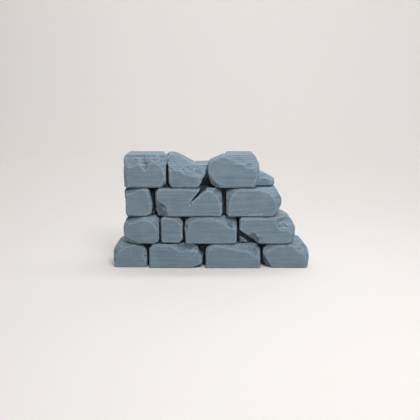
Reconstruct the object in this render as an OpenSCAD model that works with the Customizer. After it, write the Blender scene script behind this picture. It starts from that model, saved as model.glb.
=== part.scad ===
// Model dry stone wall with both ends raked back, courses numbered from the base up.
// A front and a back leaf of blocks stand on a hearting core, tied by through stones.
// Millimetres, Z up, X along the wall, front face at -Y, origin at the centre of the base.

/* [Size] */
// length of the bottom course
wall_length = 96; // [76:1:120]
// thickness over the two proudest blocks
wall_depth = 21; // [19:0.5:30]
// height to the top of the highest block
wall_height = 55.3; // [44:0.1:70]

/* [Joints] */
// how far behind the proudest block the joints are closed by the bearing tails
recess = 6; // [4:0.1:6.5]
// thickness of the hearting between the two leaves
heart_depth = 4; // [2:0.5:6]
// how hard the block edges are knocked off
edge_wear = 0.6; // [0.4:0.05:1]

/* [Damage] */
// depth of the crack in the long third course block
crack_depth = 4; // [1.5:0.1:6]
// depth of the hairline split in the second course
hairline_depth = 1.5; // [0.5:0.1:2.5]

/* [Hidden] */
kx = wall_length / 96;
kz = wall_height / 55.3;
fy = wall_depth / 2;
ty = fy - recess;
hy = heart_depth / 2;
// bed planes between the courses
z1 = 12 * kz;
z2 = 25.5 * kz;
z3 = 39.5 * kz;
// end blocks stop this far short of the middle; the top course leaves meet nearer the front
mid = 0.3;
fm = 3.2;
bm = -2.8;

// plate with an outline in x and z, from depth y0 to depth y1
module plate(pts, y0, y1)
  translate([0, y1, 0]) rotate([90, 0, 0])
    linear_extrude(height = y1 - y0)
      polygon([for (p = pts) [p[0] * kx, p[1] * kz]]);

// everything beyond the plane through p with normal n
module beyond(p, n)
  translate(p) rotate([0, acos(n[2] / norm(n)), atan2(n[1], n[0])])
    translate([-150, -150, 0]) cube([300, 300, 150]);

// knocked off edge between corners a and b, w across the face and d into the side
module arris(a, b, s, f) {
  w = a[2] * edge_wear;
  d = a[3] * edge_wear;
  nx = (b[1] - a[1]) * kz;
  nz = -(b[0] - a[0]) * kx;
  l = norm([nx, nz]);
  if (w > 0)
    beyond([a[0] * kx, s * (f - d), a[1] * kz], [d * nx / l, s * w, d * nz / l]);
}

// one dressed face: corners [x, z, w, d] anticlockwise, s is -1 front or 1 back, f the face distance
module dressed(v, s, f, t) {
  n = len(v);
  difference() {
    plate(v, s < 0 ? -f : t, s < 0 ? -t : f);
    for (i = [0 : n - 1]) arris(v[i], v[(i + 1) % n], s, f);
  }
}

// bearing tail of a block
module tail(x0, x1, za, zb, y0, y1)
  translate([x0 * kx, y0, za]) cube([(x1 - x0) * kx, y1 - y0, zb - za]);

// a bite out of a block: box of size c turned by r about its centre p
module bite(p, r, c)
  translate([p[0] * kx, p[1], p[2] * kz]) rotate(r) cube(c, center = true);

// ---------- core ----------
module hearting() color([0.30, 0.36, 0.40]) union() {
  tail(-30.9, 22.8, 0, z1, -hy, hy);
  tail(-13.1, 8.6, z1, z2, -hy, hy);
  tail(-27.4, 7, z2, z3, -hy, hy);
}

// ---------- course 1 ----------
q1 = [[-47.6, 0, .4, .4], [-31.4, 0, .8, 1], [-31.4, 8.6, .8, 1], [-33.2, 11, .8, 1.2],
      [-35.5, 11.85, .8, 1.6], [-44.4, 11.85, 1.4, 2], [-47, 10.2, 1.4, 2], [-48, 7.6, 1, 1.4]];
module quoin_1_left() color([0.42, 0.49, 0.53]) union() {
  dressed(q1, -1, fy - 1.5, 0);
  dressed(q1, 1, fy - .6, 0);
  tail(-40.6, -30.9, 0, z1, -ty, ty);
}

module face_1_2() color([0.43, 0.49, 0.53]) difference() {
  union() {
    dressed([[-30.2, 0, .4, .4], [-9.5, 0, .8, 1], [-4.4, 2, .6, .6], [-4, 6, 1.4, 2.6],
             [-7, 11, .8, 1.6], [-8.4, 11.85, .7, 1.2], [-28.6, 11.85, .8, 1], [-30.2, 10.6, .7, .8]],
            -1, fy - .3, ty - .2);
    tail(-30.9, -3.3, 0, z1, -ty, -hy);
  }
  bite([-13.6, -fy - 1.2, 12], [-34, 44, 0], [5.4, 5.6, 5.4]);
  beyond([-7.4 * kx, .4 - fy, 8.6 * kz], [.7, -.62, .36]);
}

module face_1_3() color([0.43, 0.49, 0.53]) difference() {
  union() {
    dressed([[-2.7, 0, .4, .4], [24, 0, .6, .6], [24, 10, .7, .8], [22.6, 11.85, .8, 1],
             [.6, 11.85, .8, 1.2], [-1.9, 10.4, .9, 1.2], [-2.7, 8.6, .7, .8]],
            -1, fy, ty - .2);
    tail(-3.3, 24.6, 0, z1, -ty, -hy);
  }
  beyond([13 * kx, -fy, 9.4 * kz], [.14, -.72, .7]);
  bite([21.8, -fy - .4, 10.2], [-34, 16, -10], [5.4, 3.6, 5.6]);
}

module face_1_4() color([0.43, 0.49, 0.53]) difference() {
  union() {
    dressed([[25.2, 0, .4, .4], [47.2, 0, 1, 1.4], [48, 5.5, 1, 1.4], [47.4, 9, 1, 1.4],
             [46.2, 10.9, .8, 1.2], [44.6, 11.8, .8, 1.2], [28, 11.8, .8, 1.2], [25.4, 9.6, .8, 1.2]],
            -1, fy - .6, mid);
    tail(24.6, 38, 0, z1, -ty, -mid);
  }
  beyond([43.6 * kx, 1.6 - fy, 11.4 * kz], [.4, -.6, .7]);
  beyond([28 * kx, .6 - fy, 3.4 * kz], [-.72, -.5, -.42]);
  beyond([28 * kx, .7 - fy, 9.6 * kz], [-.3, -.7, .64]);
}

module back_1_2() color([0.42, 0.48, 0.52]) union() {
  dressed([[-30.3, 0, .4, .4], [-16.5, 0, .8, 1], [-16, 3, .8, 1], [-16.4, 10.2, 1, 1.4],
           [-18.2, 11.8, 1, 1.6], [-28.6, 11.8, 1.2, 1.6], [-30.4, 10, .9, 1.2]],
          1, fy - .5, ty - .2);
  tail(-30.9, -15.6, 0, z1, hy, ty);
}
module back_1_3() color([0.42, 0.48, 0.52]) union() {
  dressed([[-15.1, 0, .4, .4], [1.7, 0, .8, 1], [2.1, 6, .9, 1], [1.5, 10.6, 1, 1.4],
           [0, 11.85, 1, 1.6], [-12, 11.85, 1.8, 2.4], [-14.8, 9.4, 1, 1.4], [-15.2, 4, .8, 1]],
          1, fy, ty - .2);
  tail(-15.6, 2.6, 0, z1, hy, ty);
}
module back_1_4() color([0.42, 0.48, 0.52]) difference() {
  union() {
    dressed([[3.2, 0, .4, .4], [21.6, 0, .9, 1], [22.1, 2, .9, 1.1], [21.8, 8.8, 1.6, 2],
             [19.4, 11.5, .9, 1.4], [5, 11.5, .9, 1.2], [3.1, 10.2, .9, 1]],
            1, fy - .3, ty - .2);
    tail(2.6, 22.8, 0, z1, hy, ty);
  }
  bite([9, fy, 11.8], [34, 20, 8], [6, 5, 5]);
}
module back_1_5() color([0.42, 0.48, 0.52]) difference() {
  union() {
    dressed([[23.2, 0, .4, .4], [47.2, 0, 1.2, 1.6], [48, 5, 1.6, 2.2], [47.2, 9.2, 2, 2.6],
             [45, 11.8, 1.2, 1.8], [25.6, 11.8, 1, 1.6], [23.1, 9.6, 1, 1.4]],
            1, fy - .4, mid);
    tail(22.8, 38, 0, z1, mid, ty);
  }
  beyond([45 * kx, fy - 2, 11.2 * kz], [.5, .5, .7]);
}

// ---------- course 2 ----------
module face_2_1() color([0.43, 0.50, 0.54]) difference() {
  union() {
    dressed([[-40.6, 12.15, .8, .9], [-27, 12.15, .8, 1], [-25.2, 13.8, .8, 1], [-25.1, 23.8, .9, 1],
             [-26.8, 25.35, .7, .8], [-40, 25.35, .9, 1], [-41.2, 24, .9, 1], [-42.3, 20.6, .8, .9],
             [-42.2, 17, .8, 1], [-41.5, 13.2, .9, 1]],
            -1, fy - .6, mid);
    tail(-40, -24.7, z1, z2, -ty, -mid);
  }
  beyond([-38.4 * kx, .6 - fy, 13.8 * kz], [-.36, -.62, -.7]);
  beyond([-37 * kx, .6 - fy, 23 * kz], [-.24, -.6, .76]);
  bite([-26.4, -fy, 25.2], [-34, 26, 14], [4.6, 3.6, 5.4]);
}

q2 = [[-23.6, 12.6, .7, .8], [-15.4, 12.4, .8, 1], [-13.7, 14.4, .7, .8], [-13.7, 23, .8, 1],
      [-15.4, 25, .7, 1], [-18, 25.35, .6, .8], [-23.4, 25.35, .6, .8], [-24.3, 24.2, .7, .8], [-24.3, 13.6, .7, .8]];
module through_2_2() color([0.43, 0.50, 0.54]) union() {
  dressed(q2, -1, fy - .7, ty - .2);
  dressed(q2, 1, fy - .3, ty - .2);
  tail(-24.7, -13.1, z1, z2, -ty, ty);
}

module face_2_3() color([0.44, 0.51, 0.55]) difference() {
  union() {
    dressed([[-12.3, 12.15, .7, .7], [11.2, 12.15, .8, .8], [12.4, 13.2, .6, .7], [12.4, 23.6, .8, 1],
             [11.2, 25.35, .7, .8], [-10, 25.35, .8, 1.2], [-12.2, 23.6, .8, 1.2], [-12.8, 20.4, .4, .5]],
            -1, fy - .3, ty - .2);
    tail(-13.1, 13, z1, z2, -ty, -hy);
  }
  beyond([4.5 * kx, .3 - fy, 22.9 * kz], [.34, -.9, .7]);
  plate([[6.6, 26], [7.5, 26], [8.8, 22], [9.8, 20], [8.2, 21.8]], -fy - 1, hairline_depth - fy);
}

module face_2_4() color([0.45, 0.52, 0.56]) difference() {
  union() {
    dressed([[23.4, 12.15, .7, .7], [38.4, 12.15, 1, 1.2], [40.4, 14, .9, 1.2], [40.8, 20, 1, 1.6],
             [39.4, 23.2, 1, 1.6], [36, 25.35, .8, 1.2], [14.8, 25.35, .9, 1], [13.7, 24.2, .6, .7],
             [13.7, 18.8, 1, 3], [18.2, 15.6, 1, 3]],
            -1, fy - .4, mid);
    plate([[13.9, 12.4], [17.8, 12.6], [16.6, 14.4], [13.9, 15.7]], 1.9 - fy, -ty);
    tail(13, 30, z1, z2, -ty, -mid);
  }
  bite([37.4, -fy - .4, 24], [-27, 12, 3], [11, 3.2, 9.6]);
  bite([20, -fy, 16.6], [0, 8, 0], [2.8, 2, 2.4]);
}

module back_2_1() color([0.42, 0.48, 0.52]) difference() {
  union() {
    dressed([[-40.4, 12.15, .9, 1], [-26.6, 12.15, .9, 1], [-25.3, 14, .9, 1], [-25.4, 24, .9, 1.2],
             [-27.4, 25.35, 1, 1.4], [-39.8, 25.35, 1.2, 1.6], [-41.6, 23, 1.2, 1.6], [-41.8, 14, 1, 1.4]],
            1, fy - .4, mid);
    tail(-40, -24.7, z1, z2, mid, ty);
  }
  bite([-38, fy, 25.4], [32, -24, 10], [7, 5, 5]);
}
module back_2_3() color([0.42, 0.48, 0.52]) union() {
  dressed([[-11.4, 12.5, .8, 1], [6.4, 12.4, .9, 1], [8, 14, .9, 1.2], [7.8, 22.4, 1.4, 2],
           [5.4, 25, .9, 1.4], [-10.4, 25.1, 1, 1.4], [-12.5, 23.4, .9, 1.2], [-12.6, 14, .9, 1]],
          1, fy - .1, ty - .2);
  tail(-13.1, 8.6, z1, z2, hy, ty);
}
module back_2_4() color([0.42, 0.48, 0.52]) difference() {
  union() {
    dressed([[10, 12.4, .9, 1], [22.6, 12.5, .9, 1], [23.6, 14, .9, 1], [23.7, 23, 1, 1.2],
             [22.4, 25, .9, 1.2], [11, 25.1, 1, 1.2], [9.1, 23.6, 1, 1.4], [9, 14, .9, 1]],
            1, fy - .5, mid);
    tail(8.6, 24.2, z1, z2, mid, ty);
  }
  beyond([20.5 * kx, fy - .9, 22.6 * kz], [.6, .8, .5]);
}
module back_2_5() color([0.42, 0.48, 0.52]) difference() {
  union() {
    dressed([[25.6, 12.4, .9, 1], [39.4, 12.4, 1, 1.4], [41, 15, 1, 1.4], [41.2, 20, 1.4, 2],
             [39, 23.6, 1.2, 2], [36, 25.35, 1, 1.4], [26, 25.35, .9, 1.2], [24.7, 23.6, .9, 1]],
            1, fy - .2, mid);
    tail(24.2, 30, z1, z2, mid, ty);
  }
  beyond([37.6 * kx, fy - 1.2, 23.8 * kz], [.5, .5, .7]);
}

// ---------- course 3 ----------
q3 = [[-40.2, 25.65, .7, .8], [-31, 25.65, .8, .9], [-28.7, 27, .8, 1], [-28, 31, .8, 1],
      [-29.4, 38.2, .8, 1], [-30.6, 39.35, .7, .9], [-40.4, 39.35, .8, 1], [-41.4, 38.2, .7, .8],
      [-40.8, 33, .7, .8], [-41.1, 26.8, .7, .8]];
module quoin_3_left() color([0.42, 0.49, 0.53]) difference() {
  union() {
    dressed(q3, -1, fy - .8, 0);
    dressed(q3, 1, fy - .2, 0);
    tail(-40, -30, z2, z3, -ty, ty);
    tail(-31, -27.4, z2, 37 * kz, -ty, ty);
    tail(-31, -27.4, z2, z3, -hy, hy);
  }
  beyond([-38 * kx, .8 - fy, 37.4 * kz], [-.2, -.6, .76]);
}

module face_3_2() color([0.45, 0.52, 0.56]) difference() {
  union() {
    dressed([[-25.4, 25.65, .7, .7], [4.6, 25.65, .8, .8], [5.4, 27.2, .7, .8], [5.3, 33, .8, 1.2],
             [5, 37.2, .9, 1.4], [3, 39.35, .8, 1.2], [-24.6, 39.35, .7, .8], [-26.4, 37.8, .8, 1],
             [-26.6, 27, .7, .8]],
            -1, fy - .4, ty - .2);
    tail(-27.4, 7, z2, z3, -ty, -hy);
  }
  beyond([-23.4 * kx, .6 - fy, 29.4 * kz], [-.66, -1, -.5]);
  plate([[-9.4, 33.3], [-8.9, 33.1], [-6.5, 35.2], [-4.5, 37.4], [-2.5, 39.8], [-4.2, 39.8], [-5.8, 37.9], [-7.4, 35.9]],
        -fy - 1, crack_depth - fy);
}

module face_3_3() color([0.45, 0.52, 0.56]) difference() {
  union() {
    dressed([[8.6, 25.65, .7, .8], [30, 25.65, .9, 1.2], [32.2, 27.8, 2, 2.4], [33.9, 32.4, 2.8, 3],
             [33.8, 34.4, 2.6, 2.8], [31, 39.35, 1, 1.8], [9, 39.35, .9, 1.4], [7.3, 37.4, .9, 1.2],
             [7.3, 27.2, .7, .8]],
            -1, fy - .4, mid);
    tail(7, 29, z2, z3, -ty, -mid);
  }
  beyond([26 * kx, .2 - fy, 37.9 * kz], [.3, -.6, .8]);
  beyond([9.8 * kx, .8 - fy, 37.4 * kz], [-.5, -.5, .7]);
  bite([21.5, -fy - .9, 27.2], [0, 4, 0], [7, 2.4, 1.8]);
}

module back_3_2() color([0.42, 0.48, 0.52]) union() {
  dressed([[-26, 25.9, .9, 1], [-11.4, 25.9, .9, 1], [-10, 27.4, .9, 1], [-10.2, 37.4, 1, 1.4],
           [-12, 39.3, .9, 1.4], [-24.8, 39.3, 1.4, 2], [-27, 36.6, 1, 1.4], [-27.1, 27.2, .9, 1]],
          1, fy - .4, ty - .2);
  tail(-27.4, -9.6, z2, z3, hy, ty);
}
module back_3_3() color([0.42, 0.48, 0.52]) difference() {
  union() {
    dressed([[-8, 25.9, .9, 1], [9.4, 25.9, .9, 1], [10.6, 27.4, .9, 1], [10.5, 37, 1, 1.4],
             [8.6, 39.3, 1, 1.4], [-7, 39.3, 1, 1.2], [-9, 37.4, 1, 1.4], [-9.2, 27.4, .9, 1]],
            1, fy - .1, ty - .2);
    tail(-9.6, 11, z2, z3, hy, ty);
  }
  bite([3, fy, 39.6], [36, 12, -8], [8, 5, 5.4]);
}
module back_3_4() color([0.42, 0.48, 0.52]) difference() {
  union() {
    dressed([[12.8, 25.9, .9, 1], [29.6, 25.9, 1, 1.4], [32, 28.4, 2, 2.4], [33, 33.4, 2.4, 3],
             [30.6, 39.3, 1.4, 2], [13.6, 39.3, 1, 1.4], [11.7, 37, 1, 1.2], [11.6, 27, .9, 1]],
            1, fy - .4, mid);
    tail(11, 29, z2, z3, mid, ty);
  }
  beyond([29.6 * kx, fy - 1, 37.6 * kz], [.5, .6, .7]);
}

// ---------- course 4 ----------
module face_4_1() color([0.44, 0.51, 0.55]) difference() {
  union() {
    dressed([[-40.2, 39.65, .7, .8], [-23.6, 39.65, 1, 1.4], [-21.4, 42, .8, 1], [-21.3, 50.2, 0, 0],
             [-20.6, 51.2, .4, .4], [-20.6, 54.6, .6, .6], [-21.6, 55.3, .6, .6], [-40, 55.3, .8, 1],
             [-41.2, 54, .7, .8], [-41.2, 40.2, .7, .8]],
            -1, fy - .5, fm);
    tail(-39.6, -22, z3, z3 + 3, -ty, -fm);
  }
  beyond([-31 * kx, .5 - fy, 51 * kz], [0, -.86, .46]);
  bite([-31.1, .2 - fy, 49.6], [0, 45, 0], [2.6, 2, 2.6]);
}

module face_4_2() color([0.46, 0.53, 0.57]) difference() {
  union() {
    dressed([[-18.6, 39.65, .8, .9], [-8, 39.65, 0, 0], [-8, 50.4, 0, 0], [-10, 51.2, .8, 1],
             [-14.4, 54.6, .8, 1], [-16.4, 55.3, .7, .8], [-19.6, 55.3, .7, .8], [-20.5, 54.4, .6, .6],
             [-20.5, 51.2, 0, 0], [-20, 50, .7, .8], [-20, 41.6, .8, 1]],
            -1, fy - .4, fm);
    dressed([[-14, 39.65, .7, .8], [-6.4, 39.65, .8, 1.2], [-4.6, 42, 0, 0], [-4.4, 43.6, 0, 0],
             [-1.6, 47.2, 0, 0], [-1.6, 50.4, .4, .5], [-14, 50.4, 0, 0]],
            -1, fy - .4, fm);
    tail(-18, -7, z3, z3 + 3, -ty, -fm);
  }
  beyond([-9 * kx, .4 - fy, 46.4 * kz], [.12, -.86, .54]);
  bite([-12.6, -fy, 48.6], [0, 40, 0], [1.2, 2.8, 2.2]);
}

module face_4_3() color([0.47, 0.54, 0.58]) difference() {
  union() {
    dressed([[2.4, 39.65, .8, .9], [20.6, 39.65, 1, 1.4], [22.4, 42, 1.2, 1.8], [23, 46, 1.2, 1.8],
             [22.8, 50.4, 1.4, 2], [21.4, 53.8, 1.4, 2], [19.8, 55.3, .8, 1], [5.6, 55.3, 1.2, 1.6],
             [-.6, 52.6, 1, 1.4], [-1.4, 51.4, .4, .4], [-1.4, 46.4, .8, 1], [0, 41.2, 1.4, 1.8]],
            -1, fy - .2, fm);
    tail(7, 19.6, z3, z3 + 3, -ty, -fm);
  }
  beyond([2 * kx, .4 - fy, 42.6 * kz], [-.5, -.7, -.5]);
  beyond([13 * kx, .2 - fy, 51.5 * kz], [.24, -.76, .6]);
}

module stub_4_right() color([0.45, 0.52, 0.56]) difference() {
  union() {
    dressed([[21, 39.65, .6, .7], [29.8, 39.65, .9, 1], [30.7, 41, 1, 1.2], [30.4, 43.2, 1.2, 1.4],
             [28.4, 44.4, 1.4, 2], [25.4, 46, 1, 1.6], [23.2, 46.8, 0, 0], [22.75, 42, 0, 0]],
            -1, fy - 5, 0);
    dressed([[21, 39.65, .6, .7], [29.8, 39.65, .9, 1], [30.7, 41, 1, 1.2], [30.4, 43.2, 1.2, 1.4],
             [28.4, 44.4, 1.4, 2], [25.4, 46, 1, 1.6], [23.2, 46.8, 0, 0], [22.75, 42, 0, 0]],
            1, fy - 2.4, 0);
    tail(24, 29.4, z3, 42 * kz, 1 - ty, ty - .2);
  }
  beyond([28 * kx, 2.2, 44.2 * kz], [.3, .5, .8]);
}

module back_4_1() color([0.42, 0.48, 0.52]) union() {
  dressed([[-40, 39.65, .9, 1], [-24.2, 39.65, .9, 1], [-23, 41.4, .9, 1], [-22.9, 54.5, .6, .8],
           [-23.8, 55.3, .6, .8], [-40.4, 55.3, .8, 1], [-41.2, 54.2, .8, 1], [-41.2, 41, .9, 1]],
          1, fy - .4, bm);
  tail(-39.6, -24.2, z3, z3 + 3, bm, ty);
}
module back_4_2() color([0.42, 0.48, 0.52]) difference() {
  union() {
    dressed([[-21, 40, .9, 1], [-10.2, 40, .9, 1], [-8.6, 41.4, .4, .5], [-8.6, 50.4, 0, 0],
             [-10, 51, .8, 1], [-13, 52.6, .8, 1], [-17, 54.9, .8, 1], [-18.6, 55.3, .8, 1], [-20.8, 55.2, .8, 1],
             [-22.2, 53.8, .9, 1], [-22.3, 41.4, .9, 1]],
            1, fy - .1, bm);
    tail(-21, -10.4, z3, z3 + 3, bm, ty);
  }
  beyond([-18 * kx, fy - .8, 51.6 * kz], [-.3, .8, .5]);
}
module back_4_3() color([0.42, 0.48, 0.52]) union() {
  dressed([[-7, 40, .9, 1], [4.6, 40, .9, 1], [6, 41.4, .9, 1], [6, 49.6, .9, 1],
           [4.8, 50.5, 1, 1.4], [-8.3, 50.5, .4, .5], [-8.3, 41.2, .9, 1]],
          1, fy - .4, bm);
  tail(-7, 4.6, z3, z3 + 3, bm, ty);
}
module back_4_4() color([0.42, 0.48, 0.52]) difference() {
  union() {
    dressed([[8.2, 40, .9, 1], [20, 40, 1, 1.4], [21.8, 42, 1, 1.6], [22, 48.6, 1.2, 1.6],
             [21.6, 53.4, 1, 1.4], [20.2, 55.2, .8, 1], [7.6, 55.2, .8, 1], [7, 54.2, .6, .8],
             [7, 41.4, .9, 1]],
            1, fy - .2, bm);
    tail(8.2, 20, z3, z3 + 3, bm, ty);
  }
  bite([21.6, fy, 43], [30, 24, 14], [6, 5, 5]);
}

hearting();
quoin_1_left();
face_1_2();
face_1_3();
face_1_4();
face_2_1();
through_2_2();
face_2_3();
face_2_4();
quoin_3_left();
face_3_2();
face_3_3();
face_4_1();
face_4_2();
face_4_3();
stub_4_right();
back_1_2();
back_1_3();
back_1_4();
back_1_5();
back_2_1();
back_2_3();
back_2_4();
back_2_5();
back_3_2();
back_3_3();
back_3_4();
back_4_1();
back_4_2();
back_4_3();
back_4_4();
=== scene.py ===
import bpy
import math
import numpy as np
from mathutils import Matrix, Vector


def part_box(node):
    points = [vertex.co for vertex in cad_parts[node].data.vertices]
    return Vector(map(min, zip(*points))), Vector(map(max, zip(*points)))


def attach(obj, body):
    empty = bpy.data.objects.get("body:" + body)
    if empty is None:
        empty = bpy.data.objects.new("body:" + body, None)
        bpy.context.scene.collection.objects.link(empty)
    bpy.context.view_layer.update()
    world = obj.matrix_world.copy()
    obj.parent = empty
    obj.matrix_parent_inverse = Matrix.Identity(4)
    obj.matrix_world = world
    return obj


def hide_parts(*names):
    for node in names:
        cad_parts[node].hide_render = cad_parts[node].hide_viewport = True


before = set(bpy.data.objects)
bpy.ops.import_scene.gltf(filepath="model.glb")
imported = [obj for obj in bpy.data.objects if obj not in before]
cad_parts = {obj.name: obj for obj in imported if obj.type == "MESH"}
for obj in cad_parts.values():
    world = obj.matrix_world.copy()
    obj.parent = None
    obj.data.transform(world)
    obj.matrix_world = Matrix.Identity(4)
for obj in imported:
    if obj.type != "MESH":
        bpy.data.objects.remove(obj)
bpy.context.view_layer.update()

MM = 1000.0
LAYER = 0.2          # print layer, mm
SEEN_VOXEL = 0.23    # mesh pitch of the front blocks, mm
FAR_VOXEL = 0.28     # mesh pitch of the back leaf, mm


# ------------------------------------------------------------------ noise
def hash3(ix, iy, iz, seed):
    h = (ix.astype(np.int64) * 374761393 + iy.astype(np.int64) * 668265263
         + iz.astype(np.int64) * 2147483647 + seed * 1274126177) & 0xFFFFFFFF
    h = ((h ^ (h >> 13)) * 1274126177) & 0xFFFFFFFF
    h = ((h ^ (h >> 16)) * 2246822519) & 0xFFFFFFFF
    h = h ^ (h >> 15)
    return (h & 0xFFFFFF).astype(np.float64) / float(0xFFFFFF) * 2.0 - 1.0


def vnoise(p, seed):
    i = np.floor(p).astype(np.int64)
    f = p - i
    f = f * f * f * (f * (f * 6 - 15) + 10)
    out = np.zeros(len(p))
    for dx in (0, 1):
        wx = f[:, 0] if dx else 1 - f[:, 0]
        for dy in (0, 1):
            wy = f[:, 1] if dy else 1 - f[:, 1]
            for dz in (0, 1):
                wz = f[:, 2] if dz else 1 - f[:, 2]
                out += wx * wy * wz * hash3(i[:, 0] + dx, i[:, 1] + dy, i[:, 2] + dz, seed)
    return out


def fbm(p, size, octaves, seed):
    out = np.zeros(len(p))
    amp, tot = 1.0, 0.0
    q = p / size
    for k in range(octaves):
        out += amp * vnoise(q + 17.3 * k, seed + 31 * k)
        tot += amp
        amp *= 0.5
        q = q * 2.03
    return out / tot


# ------------------------------------------------------------------ mesh tools
def outside(q, poly):
    """Distance of each point of q outside the closed outline poly, 0 within it."""
    poly = np.array(poly, float)
    best = np.full(len(q), 1e9)
    inside = np.zeros(len(q), dtype=bool)
    for i in range(len(poly)):
        a, b = poly[i], poly[(i + 1) % len(poly)]
        e = b - a
        w = q - a
        t = np.clip((w @ e) / max(e @ e, 1e-9), 0, 1)
        best = np.minimum(best, np.linalg.norm(w - t[:, None] * e, axis=1))
        cross = (a[1] > q[:, 1]) != (b[1] > q[:, 1])
        with np.errstate(divide="ignore", invalid="ignore"):
            xi = (b[0] - a[0]) * (q[:, 1] - a[1]) / (b[1] - a[1]) + a[0]
        inside ^= cross & (q[:, 0] < xi)
    return np.where(inside, 0.0, best)


def along(q, line):
    """Distance of each point of q from the open polyline."""
    line = np.array(line, float)
    best = np.full(len(q), 1e9)
    for a, b in zip(line[:-1], line[1:]):
        e = b - a
        w = q - a
        t = np.clip((w @ e) / max(e @ e, 1e-9), 0, 1)
        best = np.minimum(best, np.linalg.norm(w - t[:, None] * e, axis=1))
    return best


class Dense:
    """A block's skin as arrays, in millimetres."""

    def __init__(self, node, voxel):
        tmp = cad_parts[node].data.copy()
        co = np.empty(len(tmp.vertices) * 3)
        tmp.vertices.foreach_get("co", co)
        tmp.vertices.foreach_set("co", co * MM)
        tmp.update()
        self.mesh = None
        self.build(tmp, voxel)

    def remesh(self, voxel):
        self.mesh.vertices.foreach_set("co", self.v.ravel())
        self.mesh.update()
        self.build(self.mesh, voxel)

    def build(self, src, voxel):
        ob = bpy.data.objects.new("tmp", src)
        bpy.context.scene.collection.objects.link(ob)
        m = ob.modifiers.new("r", "REMESH")
        m.mode = "VOXEL"
        m.voxel_size = voxel
        m.adaptivity = 0.0
        dg = bpy.context.evaluated_depsgraph_get()
        me = bpy.data.meshes.new_from_object(ob.evaluated_get(dg))
        bpy.data.objects.remove(ob)
        bpy.data.meshes.remove(src)
        self.read(me)

    def read(self, me):
        n = len(me.vertices)
        v = np.empty(n * 3)
        me.vertices.foreach_get("co", v)
        self.v = v.reshape(n, 3)
        self.start = np.empty(len(me.polygons), dtype=np.int64)
        self.total = np.empty(len(me.polygons), dtype=np.int64)
        me.polygons.foreach_get("loop_start", self.start)
        me.polygons.foreach_get("loop_total", self.total)
        self.loops = np.empty(len(me.loops), dtype=np.int64)
        me.loops.foreach_get("vertex_index", self.loops)
        e = np.empty(len(me.edges) * 2, dtype=np.int64)
        me.edges.foreach_get("vertices", e)
        self.e = e.reshape(-1, 2)
        self.deg = np.bincount(self.e.ravel(), minlength=n).astype(float)[:, None]
        self.mesh = me

    def thin(self, ratio):
        """Collapses edges where the skin is flat."""
        self.mesh.vertices.foreach_set("co", self.v.ravel())
        self.mesh.update()
        ob = bpy.data.objects.new("tmp", self.mesh)
        bpy.context.scene.collection.objects.link(ob)
        m = ob.modifiers.new("d", "DECIMATE")
        m.decimate_type = "COLLAPSE"
        m.ratio = ratio
        dg = bpy.context.evaluated_depsgraph_get()
        me = bpy.data.meshes.new_from_object(ob.evaluated_get(dg))
        src = self.mesh
        bpy.data.objects.remove(ob)
        bpy.data.meshes.remove(src)
        self.read(me)

    def around(self, a):
        """Mean of a over each vertex's neighbours."""
        out = np.zeros_like(a)
        for c in range(a.shape[1]):
            out[:, c] = (np.bincount(self.e[:, 0], a[self.e[:, 1], c], len(a))
                         + np.bincount(self.e[:, 1], a[self.e[:, 0], c], len(a)))
        return out / self.deg

    def smooth(self, times, k=0.5):
        for _ in range(times):
            self.v += k * (self.around(self.v) - self.v)

    def normals(self):
        a = self.loops[self.start]
        b = self.loops[self.start + 1]
        c = self.loops[self.start + 2]
        d = self.loops[self.start + self.total - 1]
        fn = np.cross(self.v[c] - self.v[a], self.v[d] - self.v[b])
        n = np.zeros_like(self.v)
        fid = np.repeat(np.arange(len(self.start)), self.total)
        for k in range(3):
            n[:, k] = np.bincount(self.loops, fn[fid, k], len(self.v))
        n /= np.maximum(np.linalg.norm(n, axis=1)[:, None], 1e-12)
        return n

    def curvature(self, rounds=2):
        n = self.normals()
        c = ((self.v - self.around(self.v)) * n).sum(1)[:, None]
        for _ in range(rounds):
            c = 0.5 * c + 0.5 * self.around(c)
        return c[:, 0]

    def plane(self, p, n):
        """Shaves off what lies beyond the plane through p with normal n."""
        n = np.array(n, float)
        n /= np.linalg.norm(n)
        d = (self.v - np.array(p, float)) @ n
        self.v -= np.outer(np.maximum(d, 0), n)

    def scoop(self, c, r, rot=0.0):
        """Presses an ellipsoid (radii r, turned by rot degrees about Y) into the skin."""
        a = math.radians(rot)
        m = np.array([[math.cos(a), 0, math.sin(a)], [0, 1, 0], [-math.sin(a), 0, math.cos(a)]])
        r = np.array(r, float)
        q = ((self.v - np.array(c, float)) @ m) / r
        l = np.linalg.norm(q, axis=1)
        inside = (l < 1) & (l > 1e-6)
        q[inside] /= l[inside][:, None]
        self.v[inside] = (q[inside] * r) @ m.T + np.array(c, float)

    def dress(self, axis, sign, face, poly, slope, step, rough, seed, cap=6.0):
        """Cuts the skin back round the flat face that poly outlines: a small crisp step, then a rough slope.
        axis is the one the face looks along, sign the way it looks."""
        u, w = [(1, 2), (0, 2), (0, 1)][axis]
        q = self.v[:, [u, w]]
        wob = fbm(self.v, 2.6, 2, seed)
        t = outside(q, poly)
        t = np.maximum(t + 0.55 * wob * np.clip(t / 0.8, 0, 1), 0)
        g = step * (1 - np.exp(-t / 0.15)) + slope * t
        g = g + rough * np.clip(t / 1.2, 0, 1) * fbm(self.v, 1.7, 3, seed + 3)
        g = np.clip(g, 0, cap)
        lim = face - g
        cur = self.v[:, axis] * sign
        self.v[:, axis] = np.minimum(cur, lim) * sign

    def groove(self, line, width, depth, sign=-1):
        """A fine split in the front (-1) or back face along a polyline in x and z."""
        near = self.v[:, 1] * sign > 7.5
        d = along(self.v[:, [0, 2]], line)
        self.v[:, 1] -= sign * near * depth * np.clip(1 - d / width, 0, 1)

    def push(self, d, n=None):
        self.v += (self.normals() if n is None else n) * d[:, None]

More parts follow.
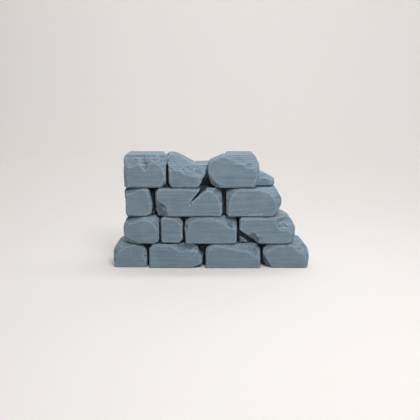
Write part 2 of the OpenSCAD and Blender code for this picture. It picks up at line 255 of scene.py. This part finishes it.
    def write(self, name, painted_edge_highlight, painted_shade):
        me = self.mesh
        me.name = name
        me.vertices.foreach_set("co", (self.v / MM).ravel())
        me.polygons.foreach_set("use_smooth", np.ones(len(me.polygons), dtype=bool))
        at = me.attributes.new("painted_edge_highlight", "FLOAT", "POINT")
        at.data.foreach_set("value", painted_edge_highlight.astype(np.float32))
        at = me.attributes.new("painted_shade", "FLOAT", "POINT")
        at.data.foreach_set("value", painted_shade.astype(np.float32))
        me.update()
        ob = bpy.data.objects.new(name, me)
        bpy.context.scene.collection.objects.link(ob)
        return ob


# ------------------------------------------------------------------ the seen faces, mm
# node: (face distance, slope of the knocked-off border, outline of the flat part in x and z)
FRONT = {
    "quoin_1_left": (9.0, 0.75, [(-46.4, 0.3), (-32.1, 0.3), (-31.9, 7.6), (-32.7, 9.4), (-34.2, 10.7), (-36.4, 11.3),
                                 (-39, 11.1), (-41, 10.5), (-43.4, 9.3), (-45.2, 7.6), (-46.2, 5)]),
    "face_1_2": (10.2, 0.8, [(-29.5, 0.3), (-9.9, 0.3), (-5.2, 2.5), (-5.1, 4.2), (-6.1, 6.2), (-7.7, 8.2), (-8.9, 9.7),
                             (-10.4, 9.0), (-12.6, 8.1), (-14.9, 8.1), (-16.1, 8.9), (-17.4, 10), (-19, 11), (-22, 11.1),
                             (-25.6, 11.1), (-27.6, 10.7), (-29.4, 9.8)]),
    "face_1_3": (10.5, 0.75, [(-2.1, 0.3), (23.4, 0.3), (23.4, 5.9), (21.2, 5.8), (19.5, 6.7), (18.5, 8.4), (17.5, 8.9),
                              (14.2, 8.6), (11.6, 9.2), (8.6, 10.2), (5, 10.9), (2, 11), (0, 10.4), (-1.5, 9.1), (-2.1, 6.5)]),
    "face_1_4": (9.9, 0.75, [(29.6, 0.6), (45.9, 0.4), (46.5, 3.6), (45.6, 6.6), (42.6, 8), (41.1, 9.5), (38.2, 10.7),
                             (34, 11), (30.2, 10.1), (27.2, 8.4), (25.9, 6.9), (27.5, 4.2), (28.9, 2.2)]),
    "face_2_1": (9.9, 0.75, [(-40.8, 15.7), (-38.2, 14.2), (-34.2, 12.8), (-28, 12.7), (-26.1, 13.8), (-25.9, 18),
                             (-26.4, 20.4), (-27.4, 21.3), (-28.6, 22.6), (-30.4, 23.6), (-32, 24.2), (-34, 23.9),
                             (-37, 22.8), (-39.6, 21.9), (-40.9, 20), (-41.3, 18)]),
    "through_2_2": (9.8, 0.7, [(-23.5, 13.2), (-15.9, 13), (-14.3, 14.8), (-14.2, 21.7), (-17.2, 24.1), (-19, 24.5),
                               (-23.2, 24.6), (-23.6, 23)]),
    "face_2_3": (10.2, 0.7, [(-11.8, 12.8), (11.4, 12.8), (11.9, 14.2), (11.9, 20.6), (9.4, 19.2), (7.8, 20.9), (6.4, 22.3),
                             (4.4, 23.3), (2.2, 23.9), (0, 24.7), (-4, 24.4), (-7.4, 24.2), (-9.4, 23.1), (-10.5, 21.6), (-11.2, 19.4), (-11.9, 17)]),
    "face_2_4": (10.1, 0.6, [(22.4, 12.8), (37.2, 12.7), (38.4, 13.8), (38.7, 17.4), (37, 18.8), (34.2, 19.1),
                             (32.2, 20.3), (31.4, 22.5), (31.2, 24.4), (14.6, 24.6), (14.2, 19.3), (17, 17.3), (18.3, 16.5),
                             (21.6, 15.4), (21.8, 13.9)]),
    "quoin_3_left": (9.7, 0.75, [(-39.9, 26.8), (-37.2, 26.5), (-35.6, 26.2), (-31.2, 26.3), (-29.4, 27.2), (-28.7, 29.5),
                                 (-28.8, 32), (-29.6, 35), (-30.3, 38.1), (-31.5, 38.7), (-34, 38.8), (-35.8, 37.9),
                                 (-37.2, 37.1), (-40.1, 36.6), (-40.2, 30)]),
    "face_3_2": (10.1, 0.7, [(-20.2, 26.3), (4.2, 26.3), (4.8, 28), (4.6, 31), (3.5, 34), (2.3, 36.3), (0.8, 37.6),
                             (-1.8, 38.3), (-3, 37.4), (-5, 35.8), (-7, 34.4), (-9.2, 33.2), (-8.9, 34.3), (-6.8, 36.6),
                             (-6, 38), (-8, 38.5), (-12, 38.8), (-18, 38.7), (-22, 38.7), (-24.5, 38.4), (-25.7, 36.8),
                             (-25.7, 33.8), (-24.2, 32.8), (-22.6, 31.9), (-21.6, 30.4), (-21, 28.4)]),
    "face_3_3": (10.1, 0.7, [(8.8, 26.4), (18, 26.3), (28, 26.2), (30, 27.2), (31.2, 29.6), (31, 32.6), (29.8, 35.4),
                             (27.6, 37.3), (24, 38.5), (22, 38.8), (14, 38.7), (12.3, 38.3), (10.4, 36.4), (9, 34), (8.4, 30)]),
    "face_4_1": (10.0, 0.55, [(-39.3, 40.6), (-30, 40.4), (-24.6, 40.4), (-22.8, 42), (-22.2, 44), (-22.1, 46.8),
                              (-23, 48.7), (-24.3, 50.2), (-26, 51.5), (-28, 51.6), (-29.6, 50.7), (-30.3, 49.4),
                              (-31.1, 47.9), (-32.1, 49.6), (-32.6, 50.5), (-34, 50.9), (-35.5, 50.3), (-37, 49.6),
                              (-38.8, 49.1), (-39.7, 47)]),
    "face_4_2": (10.1, 0.5, [(-18.4, 40.5), (-8, 40.4), (-5.4, 40.8), (-4.8, 42), (-4.7, 43.5), (-5.4, 44.7), (-7, 45.2),
                             (-9, 45.6), (-11.6, 46), (-13.1, 46.6), (-13.9, 47.8), (-15.8, 48.9), (-18, 49.3),
                             (-19.4, 48.8), (-19.5, 43)]),
    "face_4_3": (10.3, 0.6, [(6.6, 40.5), (19.4, 40.5), (20.9, 42.2), (21.7, 45), (21.4, 47.6), (19.4, 49.2), (17, 50.1),
                             (15, 50.9), (13, 50.9), (11, 51.4), (9.4, 52.5), (8, 53.8), (6.2, 54.6), (3, 53.6),
                             (0.6, 52.4), (-0.9, 51), (-0.9, 46.8), (0.6, 44.2), (2.8, 42), (4.6, 40.9)]),
    "stub_4_right": (5.4, 0.8, [(20.5, 40.3), (28.8, 40.3), (29.6, 41.8), (29, 42.8), (26.4, 43.8), (22, 44.6)]),
}
# node: [(centre, radii, turn), ...] pressed into the block
SCOOPS = {
    # V pit in the ridge and shallow spalls above it
    "face_4_1": [((-31.0, -10.4, 49.2), (0.9, 1.3, 1.5), 0), ((-31.2, -9.7, 51.2), (1.6, 1.2, 1.3), 20),
                 ((-34.0, -8.4, 54.4), (2.6, 1.0, 0.8), 0)],
    # small spur over the slope, and shallow spalls in it
    "face_4_2": [((-13.2, -9.9, 48.5), (1.1, 1.1, 0.7), -40), ((-10.2, -9.5, 48.8), (2.8, 1.2, 1.3), 15),
                 ((-17.2, -9.0, 52.4), (1.6, 1.2, 1.8), 10), ((-5.6, -9.5, 47.2), (2.8, 1.1, 1.6), 10)],
    # long shells over the rounded top and down its right shoulder
    "face_4_3": [((14.4, -10.8, 54.0), (6.0, 2.6, 3.0), 14), ((18.8, -10.6, 51.4), (3.0, 1.9, 2.2), -30)],
    # bite in the lower left corner
    "face_3_2": [((-24.6, -10.6, 29.2), (2.4, 2.2, 2.0), 20), ((-24.2, -9.6, 31.2), (2.1, 1.9, 0.9), 18),
                 ((-22.2, -10.2, 29.4), (1.0, 1.2, 1.5), 25)],
    "face_3_3": [((21.0, -10.5, 27.2), (3.2, 0.9, 0.8), -6), ((16.4, -10.3, 26.8), (1.8, 0.6, 0.6), 8),
                 ((31.2, -8.8, 29.2), (1.5, 1.2, 1.8), 25)],
    "face_2_1": [((-26.8, -9.8, 23.2), (1.3, 1.4, 1.2), 30), ((-28.2, -9.6, 24.4), (1.4, 1.2, 0.7), -20),
                 ((-26.0, -9.6, 21.2), (0.8, 1.1, 1.1), 0), ((-25.8, -9.5, 24.3), (0.7, 1.1, 0.6), 0)],
    # dent beside the broken lower left, and pits in the knocked-off upper right corner
    "face_2_4": [((20.2, -10.2, 16.2), (1.5, 1.3, 1.7), 0), ((33.0, -8.7, 21.8), (0.8, 1.3, 1.7), 15),
                 ((36.6, -8.2, 21.2), (0.9, 1.2, 1.4), -10), ((34.4, -8.6, 23.6), (1.5, 0.9, 0.9), -30),
                 ((35.6, -9.3, 19.7), (2.0, 0.7, 0.7), 4)],
    "face_1_2": [((-13.8, -9.9, 10.6), (3.0, 2.4, 2.0), 6), ((-10.6, -9.6, 10.6), (2.4, 1.6, 1.6), -20),
                 ((-9.2, -9.9, 8.5), (1.1, 1.0, 0.7), -30), ((-7.9, -9.8, 6.4), (0.8, 0.9, 1.2), 30),
                 ((-11.9, -9.9, 8.6), (1.2, 0.9, 0.6), 10),
                 ((-17.0, -9.9, 11.2), (1.4, 0.9, 0.9), 25), ((-7.4, -9.2, 8.0), (1.3, 1.2, 1.2), 40),
                 ((-5.6, -8.9, 5.2), (1.1, 1.1, 1.5), 0)],
    # two round chips at the top right
    "face_1_3": [((15.0, -10.2, 10.4), (2.6, 1.5, 1.4), 10), ((18.6, -10.0, 10.2), (1.5, 2.0, 2.0), -25),
                 ((21.4, -9.9, 9.0), (1.6, 2.0, 2.4), -15), ((11.8, -10.0, 10.9), (1.8, 0.9, 0.8), 15)],
    "face_1_4": [((40.4, -8.9, 10.4), (1.5, 1.0, 0.8), 20), ((42.8, -8.4, 9.8), (1.3, 1.0, 1.2), -25),
                 ((44.4, -8.0, 8.2), (1.0, 1.0, 1.3), 0), ((38.0, -9.2, 11.2), (1.5, 0.7, 0.6), 10)],
    "stub_4_right": [((25.0, -5.2, 44.6), (1.6, 0.8, 0.7), -15)],
}
# node: [[polyline, half width, depth], ...]
SPLITS = {
    "face_3_2": [([(-9.1, 33.4), (-9.9, 32.2), (-9.4, 31.0)], 0.45, 0.6),
                 ([(-9.9, 32.2), (-11.2, 31.4), (-12.9, 30.8)], 0.40, 0.45)],
    "face_2_3": [([(7.0, 25.8), (7.4, 24.0), (8.2, 22.2), (9.7, 20.3)], 0.5, 1.1)],
}
CAP = {"face_4_1": 3.8, "face_4_2": 3.4, "face_4_3": 3.8}
LEDGE = {"face_4_1": 0.12, "face_4_2": 0.12, "face_4_3": 0.24}
# the crack's line, along which shade is painted into the colour
CRACK = {"face_3_2": [(-9.0, 33.3), (-7.0, 35.5), (-5.2, 37.6), (-3.3, 39.8)]}
KEEP = {"face_3_2": [(-9.4, 33), (-2, 39.5)], "stub_4_right": [(23, 41), (23.2, 47)],
        "back_4_2": [(-9, 50), (-8.6, 50.4)], "back_4_3": [(-8.3, 50.4), (-8, 50.4)]}
# (side, the x it lies at): this side of the block touches its neighbour near the top
TOUCH = {"back_4_2": (1, -8.6), "back_4_3": (-1, -8.3)}
# (nodes, x from, x to, z from, z to, how much of the painted joint shade stays)
SHALLOW = [(("through_2_2", "face_2_3"), -15.0, -9.0, 18.0, 26.0, 0.4),
           (("back_4_2", "back_4_3", "face_4_2", "face_4_3"), -7.0, 3.0, 42.0, 50.0, 0.6),
           (("face_2_1", "through_2_2"), -26.0, -23.6, 19.0, 25.0, 0.5)]
# outer ends: blocks whose outer end faces left or right
LEFT_END = ("quoin_1_left", "face_2_1", "quoin_3_left", "face_4_1", "back_2_1", "back_4_1")
RIGHT_END = ("face_1_4", "face_2_4", "face_3_3", "stub_4_right", "back_1_5", "back_2_5", "back_3_4", "back_4_4", "face_4_3")
BACK_FACE = {"quoin_1_left": 9.9, "through_2_2": 10.2, "quoin_3_left": 10.3, "stub_4_right": 8.1,
             "back_1_2": 10.0, "back_1_3": 10.5, "back_1_4": 10.2, "back_1_5": 10.1,
             "back_2_1": 10.1, "back_2_3": 10.4, "back_2_4": 10.0, "back_2_5": 10.3,
             "back_3_2": 10.1, "back_3_3": 10.4, "back_3_4": 10.1,
             "back_4_1": 10.1, "back_4_2": 10.4, "back_4_3": 10.1, "back_4_4": 10.3}


def rough_outline(rng, x0, x1, z0, z1, inset, corner):
    """An uneven rounded outline within a box: edges wander by up to inset, corners are cut by about corner."""
    pts = []
    w, h = x1 - x0, z1 - z0
    c = [min(corner * rng.uniform(0.5, 1.6), 0.35 * min(w, h)) for _ in range(8)]
    side = [((x0 + c[0], z0), (x1 - c[1], z0), (0, 1)), ((x1, z0 + c[2]), (x1, z1 - c[3]), (-1, 0)),
            ((x1 - c[4], z1), (x0 + c[5], z1), (0, -1)), ((x0, z1 - c[6]), (x0, z0 + c[7]), (1, 0))]
    for a, b, n in side:
        k = max(2, int(math.hypot(b[0] - a[0], b[1] - a[1]) / 2.6))
        for i in range(k + 1):
            f = i / k
            o = inset * (0.35 + 0.65 * rng.uniform(0, 1) ** 1.6)
            pts.append((a[0] + f * (b[0] - a[0]) + n[0] * o, a[1] + f * (b[1] - a[1]) + n[1] * o))
    return pts


def chips(d, rng, count, rmin, rmax, dmin, dmax, keep=None):
    """Small random scoops along the knocked-off edges."""
    cv = d.curvature(1)
    n = d.normals()
    w = np.clip(cv - 0.015, 0, 0.08)
    # along beds and in cracks the edges stay whole
    w *= (n[:, 2] > -0.3) * (np.abs(n[:, 1]) > 0.15)
    if keep is not None:
        w *= along(d.v[:, [0, 2]], keep) > 3.0
    if w.sum() <= 0:
        return
    pick = rng.choice(len(d.v), size=count, p=w / w.sum())
    for i in pick:
        r = rng.uniform(rmin, rmax)
        dep = rng.uniform(dmin, dmax)
        ax = np.array([r * rng.uniform(0.8, 1.5), r * rng.uniform(0.8, 1.2), r * rng.uniform(0.7, 1.1)])
        d.scoop(d.v[i] + n[i] * (r - dep), ax, rng.uniform(-40, 40))


def hi_z(node):
    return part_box(node)[1][2] * MM


def shade_in_joints(node, d):
    """Painted shade: 0 on the open faces, rising to 1 at the bottom of the joints, where the print is never lit; it
    darkens the colour there.
    """
    n = d.normals()
    front = FRONT[node][0] if node in FRONT else 10.0
    back = BACK_FACE.get(node, 10.0)
    depth = np.where(d.v[:, 1] < 0, front + d.v[:, 1], back - d.v[:, 1])
    # painted shade, reaching near black deep in the joints
    k = np.clip((depth - 2.2) / 2.4, 0, 1) * np.clip((0.35 - n[:, 2]) / 0.25, 0, 1) * 0.85
    # chamfers that look down and to the left get painted shade, as if the light came from the upper right
    k = np.maximum(k, 0.26 * np.clip((-0.6 * n[:, 0] - 0.6 * n[:, 2] - 0.12) / 0.4, 0, 1) * (d.v[:, 1] < 0) * (n[:, 0] > -0.85))
    if hi_z(node) > 45:
        k *= np.clip((47.5 - d.v[:, 2]) / 1.5, 0, 1)
    if node in LEFT_END:
        k *= np.clip((n[:, 0] + 0.45) / 0.2, 0, 1)
    if node in RIGHT_END:
        k *= np.clip((0.45 - n[:, 0]) / 0.2, 0, 1)
    if node == "stub_4_right":
        k *= 0
    # where a joint is closed near the face, less shade is painted
    for who, x0, x1, za, zb, keep in SHALLOW:
        if node in who:
            m = np.clip((d.v[:, 0] - x0) / 0.5, 0, 1) * np.clip((x1 - d.v[:, 0]) / 0.5, 0, 1)
            m *= np.clip((d.v[:, 2] - za) / 1.5, 0, 1) * np.clip((zb - d.v[:, 2]) / 0.5, 0, 1)
            k *= 1 - m * (1 - keep)
    # painted shade inside the crack
    if node in CRACK:
        k = np.maximum(k, (along(d.v[:, [0, 2]], CRACK[node]) < 1.3) * np.clip((depth - 0.45) / 0.6, 0, 1) * 0.9)
    return k


def block(node, seed, mat):
    rng = np.random.default_rng(seed)
    lo, hi = [np.array(x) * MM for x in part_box(node)]
    voxel = SEEN_VOXEL if node in FRONT else FAR_VOXEL
    d = Dense(node, voxel)
    if node in FRONT:
        face, slope, poly = FRONT[node]
        d.dress(1, -1, face, poly, slope, 0.22, 0.5, seed, CAP.get(node, 3.0))
    if node in BACK_FACE:
        poly = rough_outline(rng, lo[0] + 1.3, hi[0] - 1.3, lo[2] + 0.7, hi[2] - 0.7, 1.5, 1.8)
        d.dress(1, 1, BACK_FACE[node], poly, 0.75, 0.22, 0.5, seed + 40, 3.0)
    for s in SCOOPS.get(node, []):
        d.scoop(*s)
    for line, width, depth in SPLITS.get(node, []):
        d.groove(line, width, depth)
    d.remesh(voxel)
    d.smooth(1)
    if node != "hearting":
        chips(d, rng, 8, 1.6, 4.0, 0.12, 0.4, KEEP.get(node))
        chips(d, rng, 16, 0.7, 1.6, 0.08, 0.22, KEEP.get(node))
    d.smooth(1, 0.3)
    n = d.normals()
    low = fbm(d.v + seed * 3.1, 7.0, 2, seed)
    mid = fbm(d.v + seed * 1.7, 2.2, 2, seed + 5)
    # each printed layer wanders a little sideways
    zl = np.floor(d.v[:, 2] / LAYER)
    lay = vnoise(np.column_stack([d.v[:, 0] * 0.12, d.v[:, 1] * 0.12, zl * 0.71]), seed + 9)
    fine = fbm(d.v + seed * 0.7, 0.9, 2, seed + 15)
    disp = 0.07 * low + 0.04 * mid + 0.03 * fine + 0.03 * lay * (1 - np.abs(n[:, 2]))
    # nothing on the beds and contact faces, which stay hidden
    open_ = np.clip((np.abs(d.v[:, 1]) - 4.5) / 0.8, 0, 1)
    if node in LEFT_END:
        open_ = np.maximum(open_, np.clip((-n[:, 0] - 0.3) / 0.2, 0, 1))
    if node in RIGHT_END:
        open_ = np.maximum(open_, np.clip((n[:, 0] - 0.3) / 0.2, 0, 1))
    open_ = np.maximum(open_, np.clip((n[:, 2] - 0.3) / 0.2, 0, 1) * (hi[2] > 45 or node in LEFT_END + RIGHT_END))
    disp *= open_
    disp[d.v[:, 2] < 0.15] = 0
    # spalled slopes break off in ledges
    q = d.v[:, 2] / 0.8 + 0.7 * fbm(d.v + seed, 4.0, 2, seed + 21)
    fr = q - np.floor(q)
    saw = np.where(fr < 0.75, fr / 0.75, (1 - fr) / 0.25) - 0.5
    ledge = LEDGE.get(node, 0.06) * np.clip((n[:, 2] - 0.15) / 0.2, 0, 1) * np.clip((np.abs(n[:, 1]) - 0.25) / 0.2, 0, 1)
    disp += ledge * saw * (d.v[:, 2] > 1)
    d.push(disp, n)
    # shallow tops show the layers as terraces
    up = np.clip((n[:, 2] - 0.35) / 0.4, 0, 1)
    step = d.v[:, 2] / LAYER
    frac = step - np.floor(step)
    soft = np.floor(step) + np.clip((frac - 0.3) / 0.4, 0, 1)
    d.v[:, 2] += up * 0.75 * (soft * LAYER - d.v[:, 2]) * (d.v[:, 2] > 1)
    if node in TOUCH:
        s, x = TOUCH[node]
        near = (np.abs(d.v[:, 0] - x) < 0.6) & (d.v[:, 2] > 46)
        d.v[near, 0] += s * 0.35
    d.v = np.clip(d.v, lo - 0.15, hi + 0.15)
    d.v[:, 2] = np.maximum(d.v[:, 2], 0.0)
    d.thin(0.5 if node in FRONT else 0.6)
    # painted highlight: convex edges are lightened in the colour, going by the curvature
    painted_edge_highlight = np.clip(d.curvature(3) / (0.016 if node in FRONT else 0.02), -1, 1)
    ob = d.write(node + "_skin", painted_edge_highlight, shade_in_joints(node, d))
    ob.data.materials.clear()
    ob.data.materials.append(mat)
    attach(ob, "root")
    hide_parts(node)
    return ob


# ------------------------------------------------------------------ materials
def plastic(name, tint=1.0):
    m = bpy.data.materials.new(name)
    m.use_nodes = True
    nt = m.node_tree
    nt.nodes.clear()
    N = nt.nodes.new
    L = nt.links.new
    out = N("ShaderNodeOutputMaterial")
    bsdf = N("ShaderNodeBsdfPrincipled")
    L(bsdf.outputs[0], out.inputs[0])
    bsdf.inputs["Specular IOR Level"].default_value = 0.35
    bsdf.inputs["IOR"].default_value = 1.46
    tc = N("ShaderNodeTexCoord")

    def mapping(scale):
        mp = N("ShaderNodeMapping")
        mp.inputs["Scale"].default_value = scale
        L(tc.outputs["Object"], mp.inputs["Vector"])
        return mp

    def tex(scale, detail=3.0, rough=0.55, vec=(1, 1, 1)):
        t = N("ShaderNodeTexNoise")
        t.inputs["Scale"].default_value = scale
        t.inputs["Detail"].default_value = detail
        t.inputs["Roughness"].default_value = rough
        L(mapping(vec).outputs[0], t.inputs["Vector"])
        return t

    cloud = tex(140.0, 3.0)                       # about 7 mm blotches
    streak = tex(1250.0, 3.0, 0.65, (0.05, 0.05, 1.0))   # layers, long in X and Y
    grain = tex(2600.0, 2.0)
    # colour
    ramp = N("ShaderNodeValToRGB")
    ramp.color_ramp.elements[0].position = 0.28
    ramp.color_ramp.elements[0].color = (0.172 * tint, 0.243 * tint, 0.303 * tint, 1)
    ramp.color_ramp.elements[1].position = 0.72
    ramp.color_ramp.elements[1].color = (0.214 * tint, 0.291 * tint, 0.356 * tint, 1)
    L(cloud.outputs["Fac"], ramp.inputs["Fac"])
    sr = N("ShaderNodeMapRange")
    sr.inputs["From Min"].default_value = 0.3
    sr.inputs["From Max"].default_value = 0.7
    sr.inputs["To Min"].default_value = 0.84
    sr.inputs["To Max"].default_value = 1.16
    L(streak.outputs["Fac"], sr.inputs["Value"])
    mul = N("ShaderNodeMix")
    mul.data_type = "RGBA"
    mul.blend_type = "MULTIPLY"
    mul.inputs["Factor"].default_value = 1.0
    L(ramp.outputs["Color"], mul.inputs["A"])
    L(sr.outputs["Result"], mul.inputs["B"])
    # painted highlight: the colour is lightened towards a pale blue on convex edges
    at = N("ShaderNodeAttribute")
    at.attribute_name = "painted_edge_highlight"
    wr = N("ShaderNodeMapRange")
    wr.inputs["From Min"].default_value = 0.12
    wr.inputs["From Max"].default_value = 0.9
    wr.inputs["To Min"].default_value = 0.0
    wr.inputs["To Max"].default_value = 0.75
    L(at.outputs["Fac"], wr.inputs["Value"])
    mix = N("ShaderNodeMix")
    mix.data_type = "RGBA"
    mix.inputs["B"].default_value = (0.33 * tint, 0.42 * tint, 0.50 * tint, 1)
    L(wr.outputs["Result"], mix.inputs["Factor"])
    L(mul.outputs["Result"], mix.inputs["A"])
    # painted shade: the colour is darkened to near black in the joints, in the crack and on the chamfers that look down
    # and to the left
    dp = N("ShaderNodeAttribute")
    dp.attribute_name = "painted_shade"
    dk = N("ShaderNodeMix")
    dk.data_type = "RGBA"
    dk.inputs["B"].default_value = (0.030, 0.040, 0.050, 1)
    L(dp.outputs["Fac"], dk.inputs["Factor"])
    L(mix.outputs["Result"], dk.inputs["A"])
    L(dk.outputs["Result"], bsdf.inputs["Base Color"])
    # roughness
    rr = N("ShaderNodeMapRange")
    rr.inputs["To Min"].default_value = 0.48
    rr.inputs["To Max"].default_value = 0.68
    L(grain.outputs["Fac"], rr.inputs["Value"])
    L(rr.outputs["Result"], bsdf.inputs["Roughness"])
    # bump: layer ridges by height, and grain
    sep = N("ShaderNodeSeparateXYZ")
    L(tc.outputs["Object"], sep.inputs[0])
    k = N("ShaderNodeMath")
    k.operation = "MULTIPLY"
    k.inputs[1].default_value = 2 * math.pi / (LAYER / MM)
    L(sep.outputs["Z"], k.inputs[0])
    sn = N("ShaderNodeMath")
    sn.operation = "SINE"
    L(k.outputs[0], sn.inputs[0])
    b1 = N("ShaderNodeBump")
    b1.inputs["Strength"].default_value = 0.35
    b1.inputs["Distance"].default_value = 0.00003
    L(sn.outputs[0], b1.inputs["Height"])
    b2 = N("ShaderNodeBump")
    b2.inputs["Strength"].default_value = 0.6
    b2.inputs["Distance"].default_value = 0.00016
    L(streak.outputs["Fac"], b2.inputs["Height"])
    L(b1.outputs[0], b2.inputs["Normal"])
    b3 = N("ShaderNodeBump")
    b3.inputs["Strength"].default_value = 0.35
    b3.inputs["Distance"].default_value = 0.00005
    L(grain.outputs["Fac"], b3.inputs["Height"])
    L(b2.outputs[0], b3.inputs["Normal"])
    L(b3.outputs[0], bsdf.inputs["Normal"])
    return m


body = plastic("blue_grey_print")

for i, node in enumerate(sorted(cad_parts)):
    block(node, 101 + 7 * i, body)


# ------------------------------------------------------------------ stage
def floor_mesh():
    # floor that sweeps up into a plain backdrop
    prof = [(-1.2, 0.0), (-0.6, 0.0), (-0.2, 0.0), (0.2, 0.0), (0.45, 0.0)]
    r = 0.35
    for k in range(1, 25):
        a = math.radians(90 * k / 24)
        prof.append((0.45 + r * math.sin(a), r - r * math.cos(a)))
    prof += [(0.80, 0.6), (0.80, 1.3)]
    xs = [-1.6, -0.8, 0, 0.8, 1.6]
    verts = [(x, y, z - 0.00002) for (y, z) in prof for x in xs]
    faces = []
    for j in range(len(prof) - 1):
        for i in range(len(xs) - 1):
            a = j * len(xs) + i
            faces.append((a, a + 1, a + 1 + len(xs), a + len(xs)))
    me = bpy.data.meshes.new("floor")
    me.from_pydata(verts, [], faces)
    me.polygons.foreach_set("use_smooth", [True] * len(me.polygons))
    ob = bpy.data.objects.new("floor", me)
    bpy.context.scene.collection.objects.link(ob)
    m = bpy.data.materials.new("pale_floor")
    m.use_nodes = True
    b = m.node_tree.nodes["Principled BSDF"]
    b.inputs["Base Color"].default_value = (0.82, 0.79, 0.77, 1)
    b.inputs["Roughness"].default_value = 0.9
    b.inputs["Specular IOR Level"].default_value = 0.1
    me.materials.append(m)


floor_mesh()


def area(name, loc, target, size, power, color=(1, 1, 1)):
    l = bpy.data.lights.new(name, "AREA")
    l.shape = "RECTANGLE"
    l.size, l.size_y = size
    l.energy = power
    l.color = color
    o = bpy.data.objects.new(name, l)
    o.location = loc
    d = np.array(target, float) - np.array(loc, float)
    o.rotation_euler = (math.acos(-d[2] / np.linalg.norm(d)), 0, math.atan2(d[1], d[0]) - math.pi / 2)
    bpy.context.scene.collection.objects.link(o)
    return o


area("near", (0.065, -0.12, 0.40), (0, 0, 0.02), (0.3, 0.3), 0.86)
area("corner", (0.07, -0.20, 0.23), (0.01, 0, 0.045), (0.08, 0.08), 0.27)
area("far", (-0.04, -0.9, 1.6), (0, 0, 0.02), (0.9, 0.9), 2.9)
area("sweep", (0.18, 0.20, 0.80), (0.18, 0.80, 0.35), (1.8, 0.3), 7.8)

w = bpy.data.worlds.new("soft")
bpy.context.scene.world = w
w.use_nodes = True
w.node_tree.nodes["Background"].inputs["Color"].default_value = (0.98, 0.985, 1.0, 1)
w.node_tree.nodes["Background"].inputs["Strength"].default_value = 0.03

# ------------------------------------------------------------------ camera
cam = bpy.data.cameras.new("camera")
cam.sensor_width = 36
cam.lens = 44.11
co = bpy.data.objects.new("camera", cam)
co.location = (-0.0005, -0.250, 0.080)
co.rotation_euler = (math.radians(90 - 12.0), 0, 0)
cam.clip_start = 0.01
bpy.context.scene.collection.objects.link(co)
bpy.context.scene.camera = co

bpy.context.scene.view_settings.view_transform = "Standard"
bpy.context.scene.view_settings.look = "None"

bpy.context.view_layer.update()
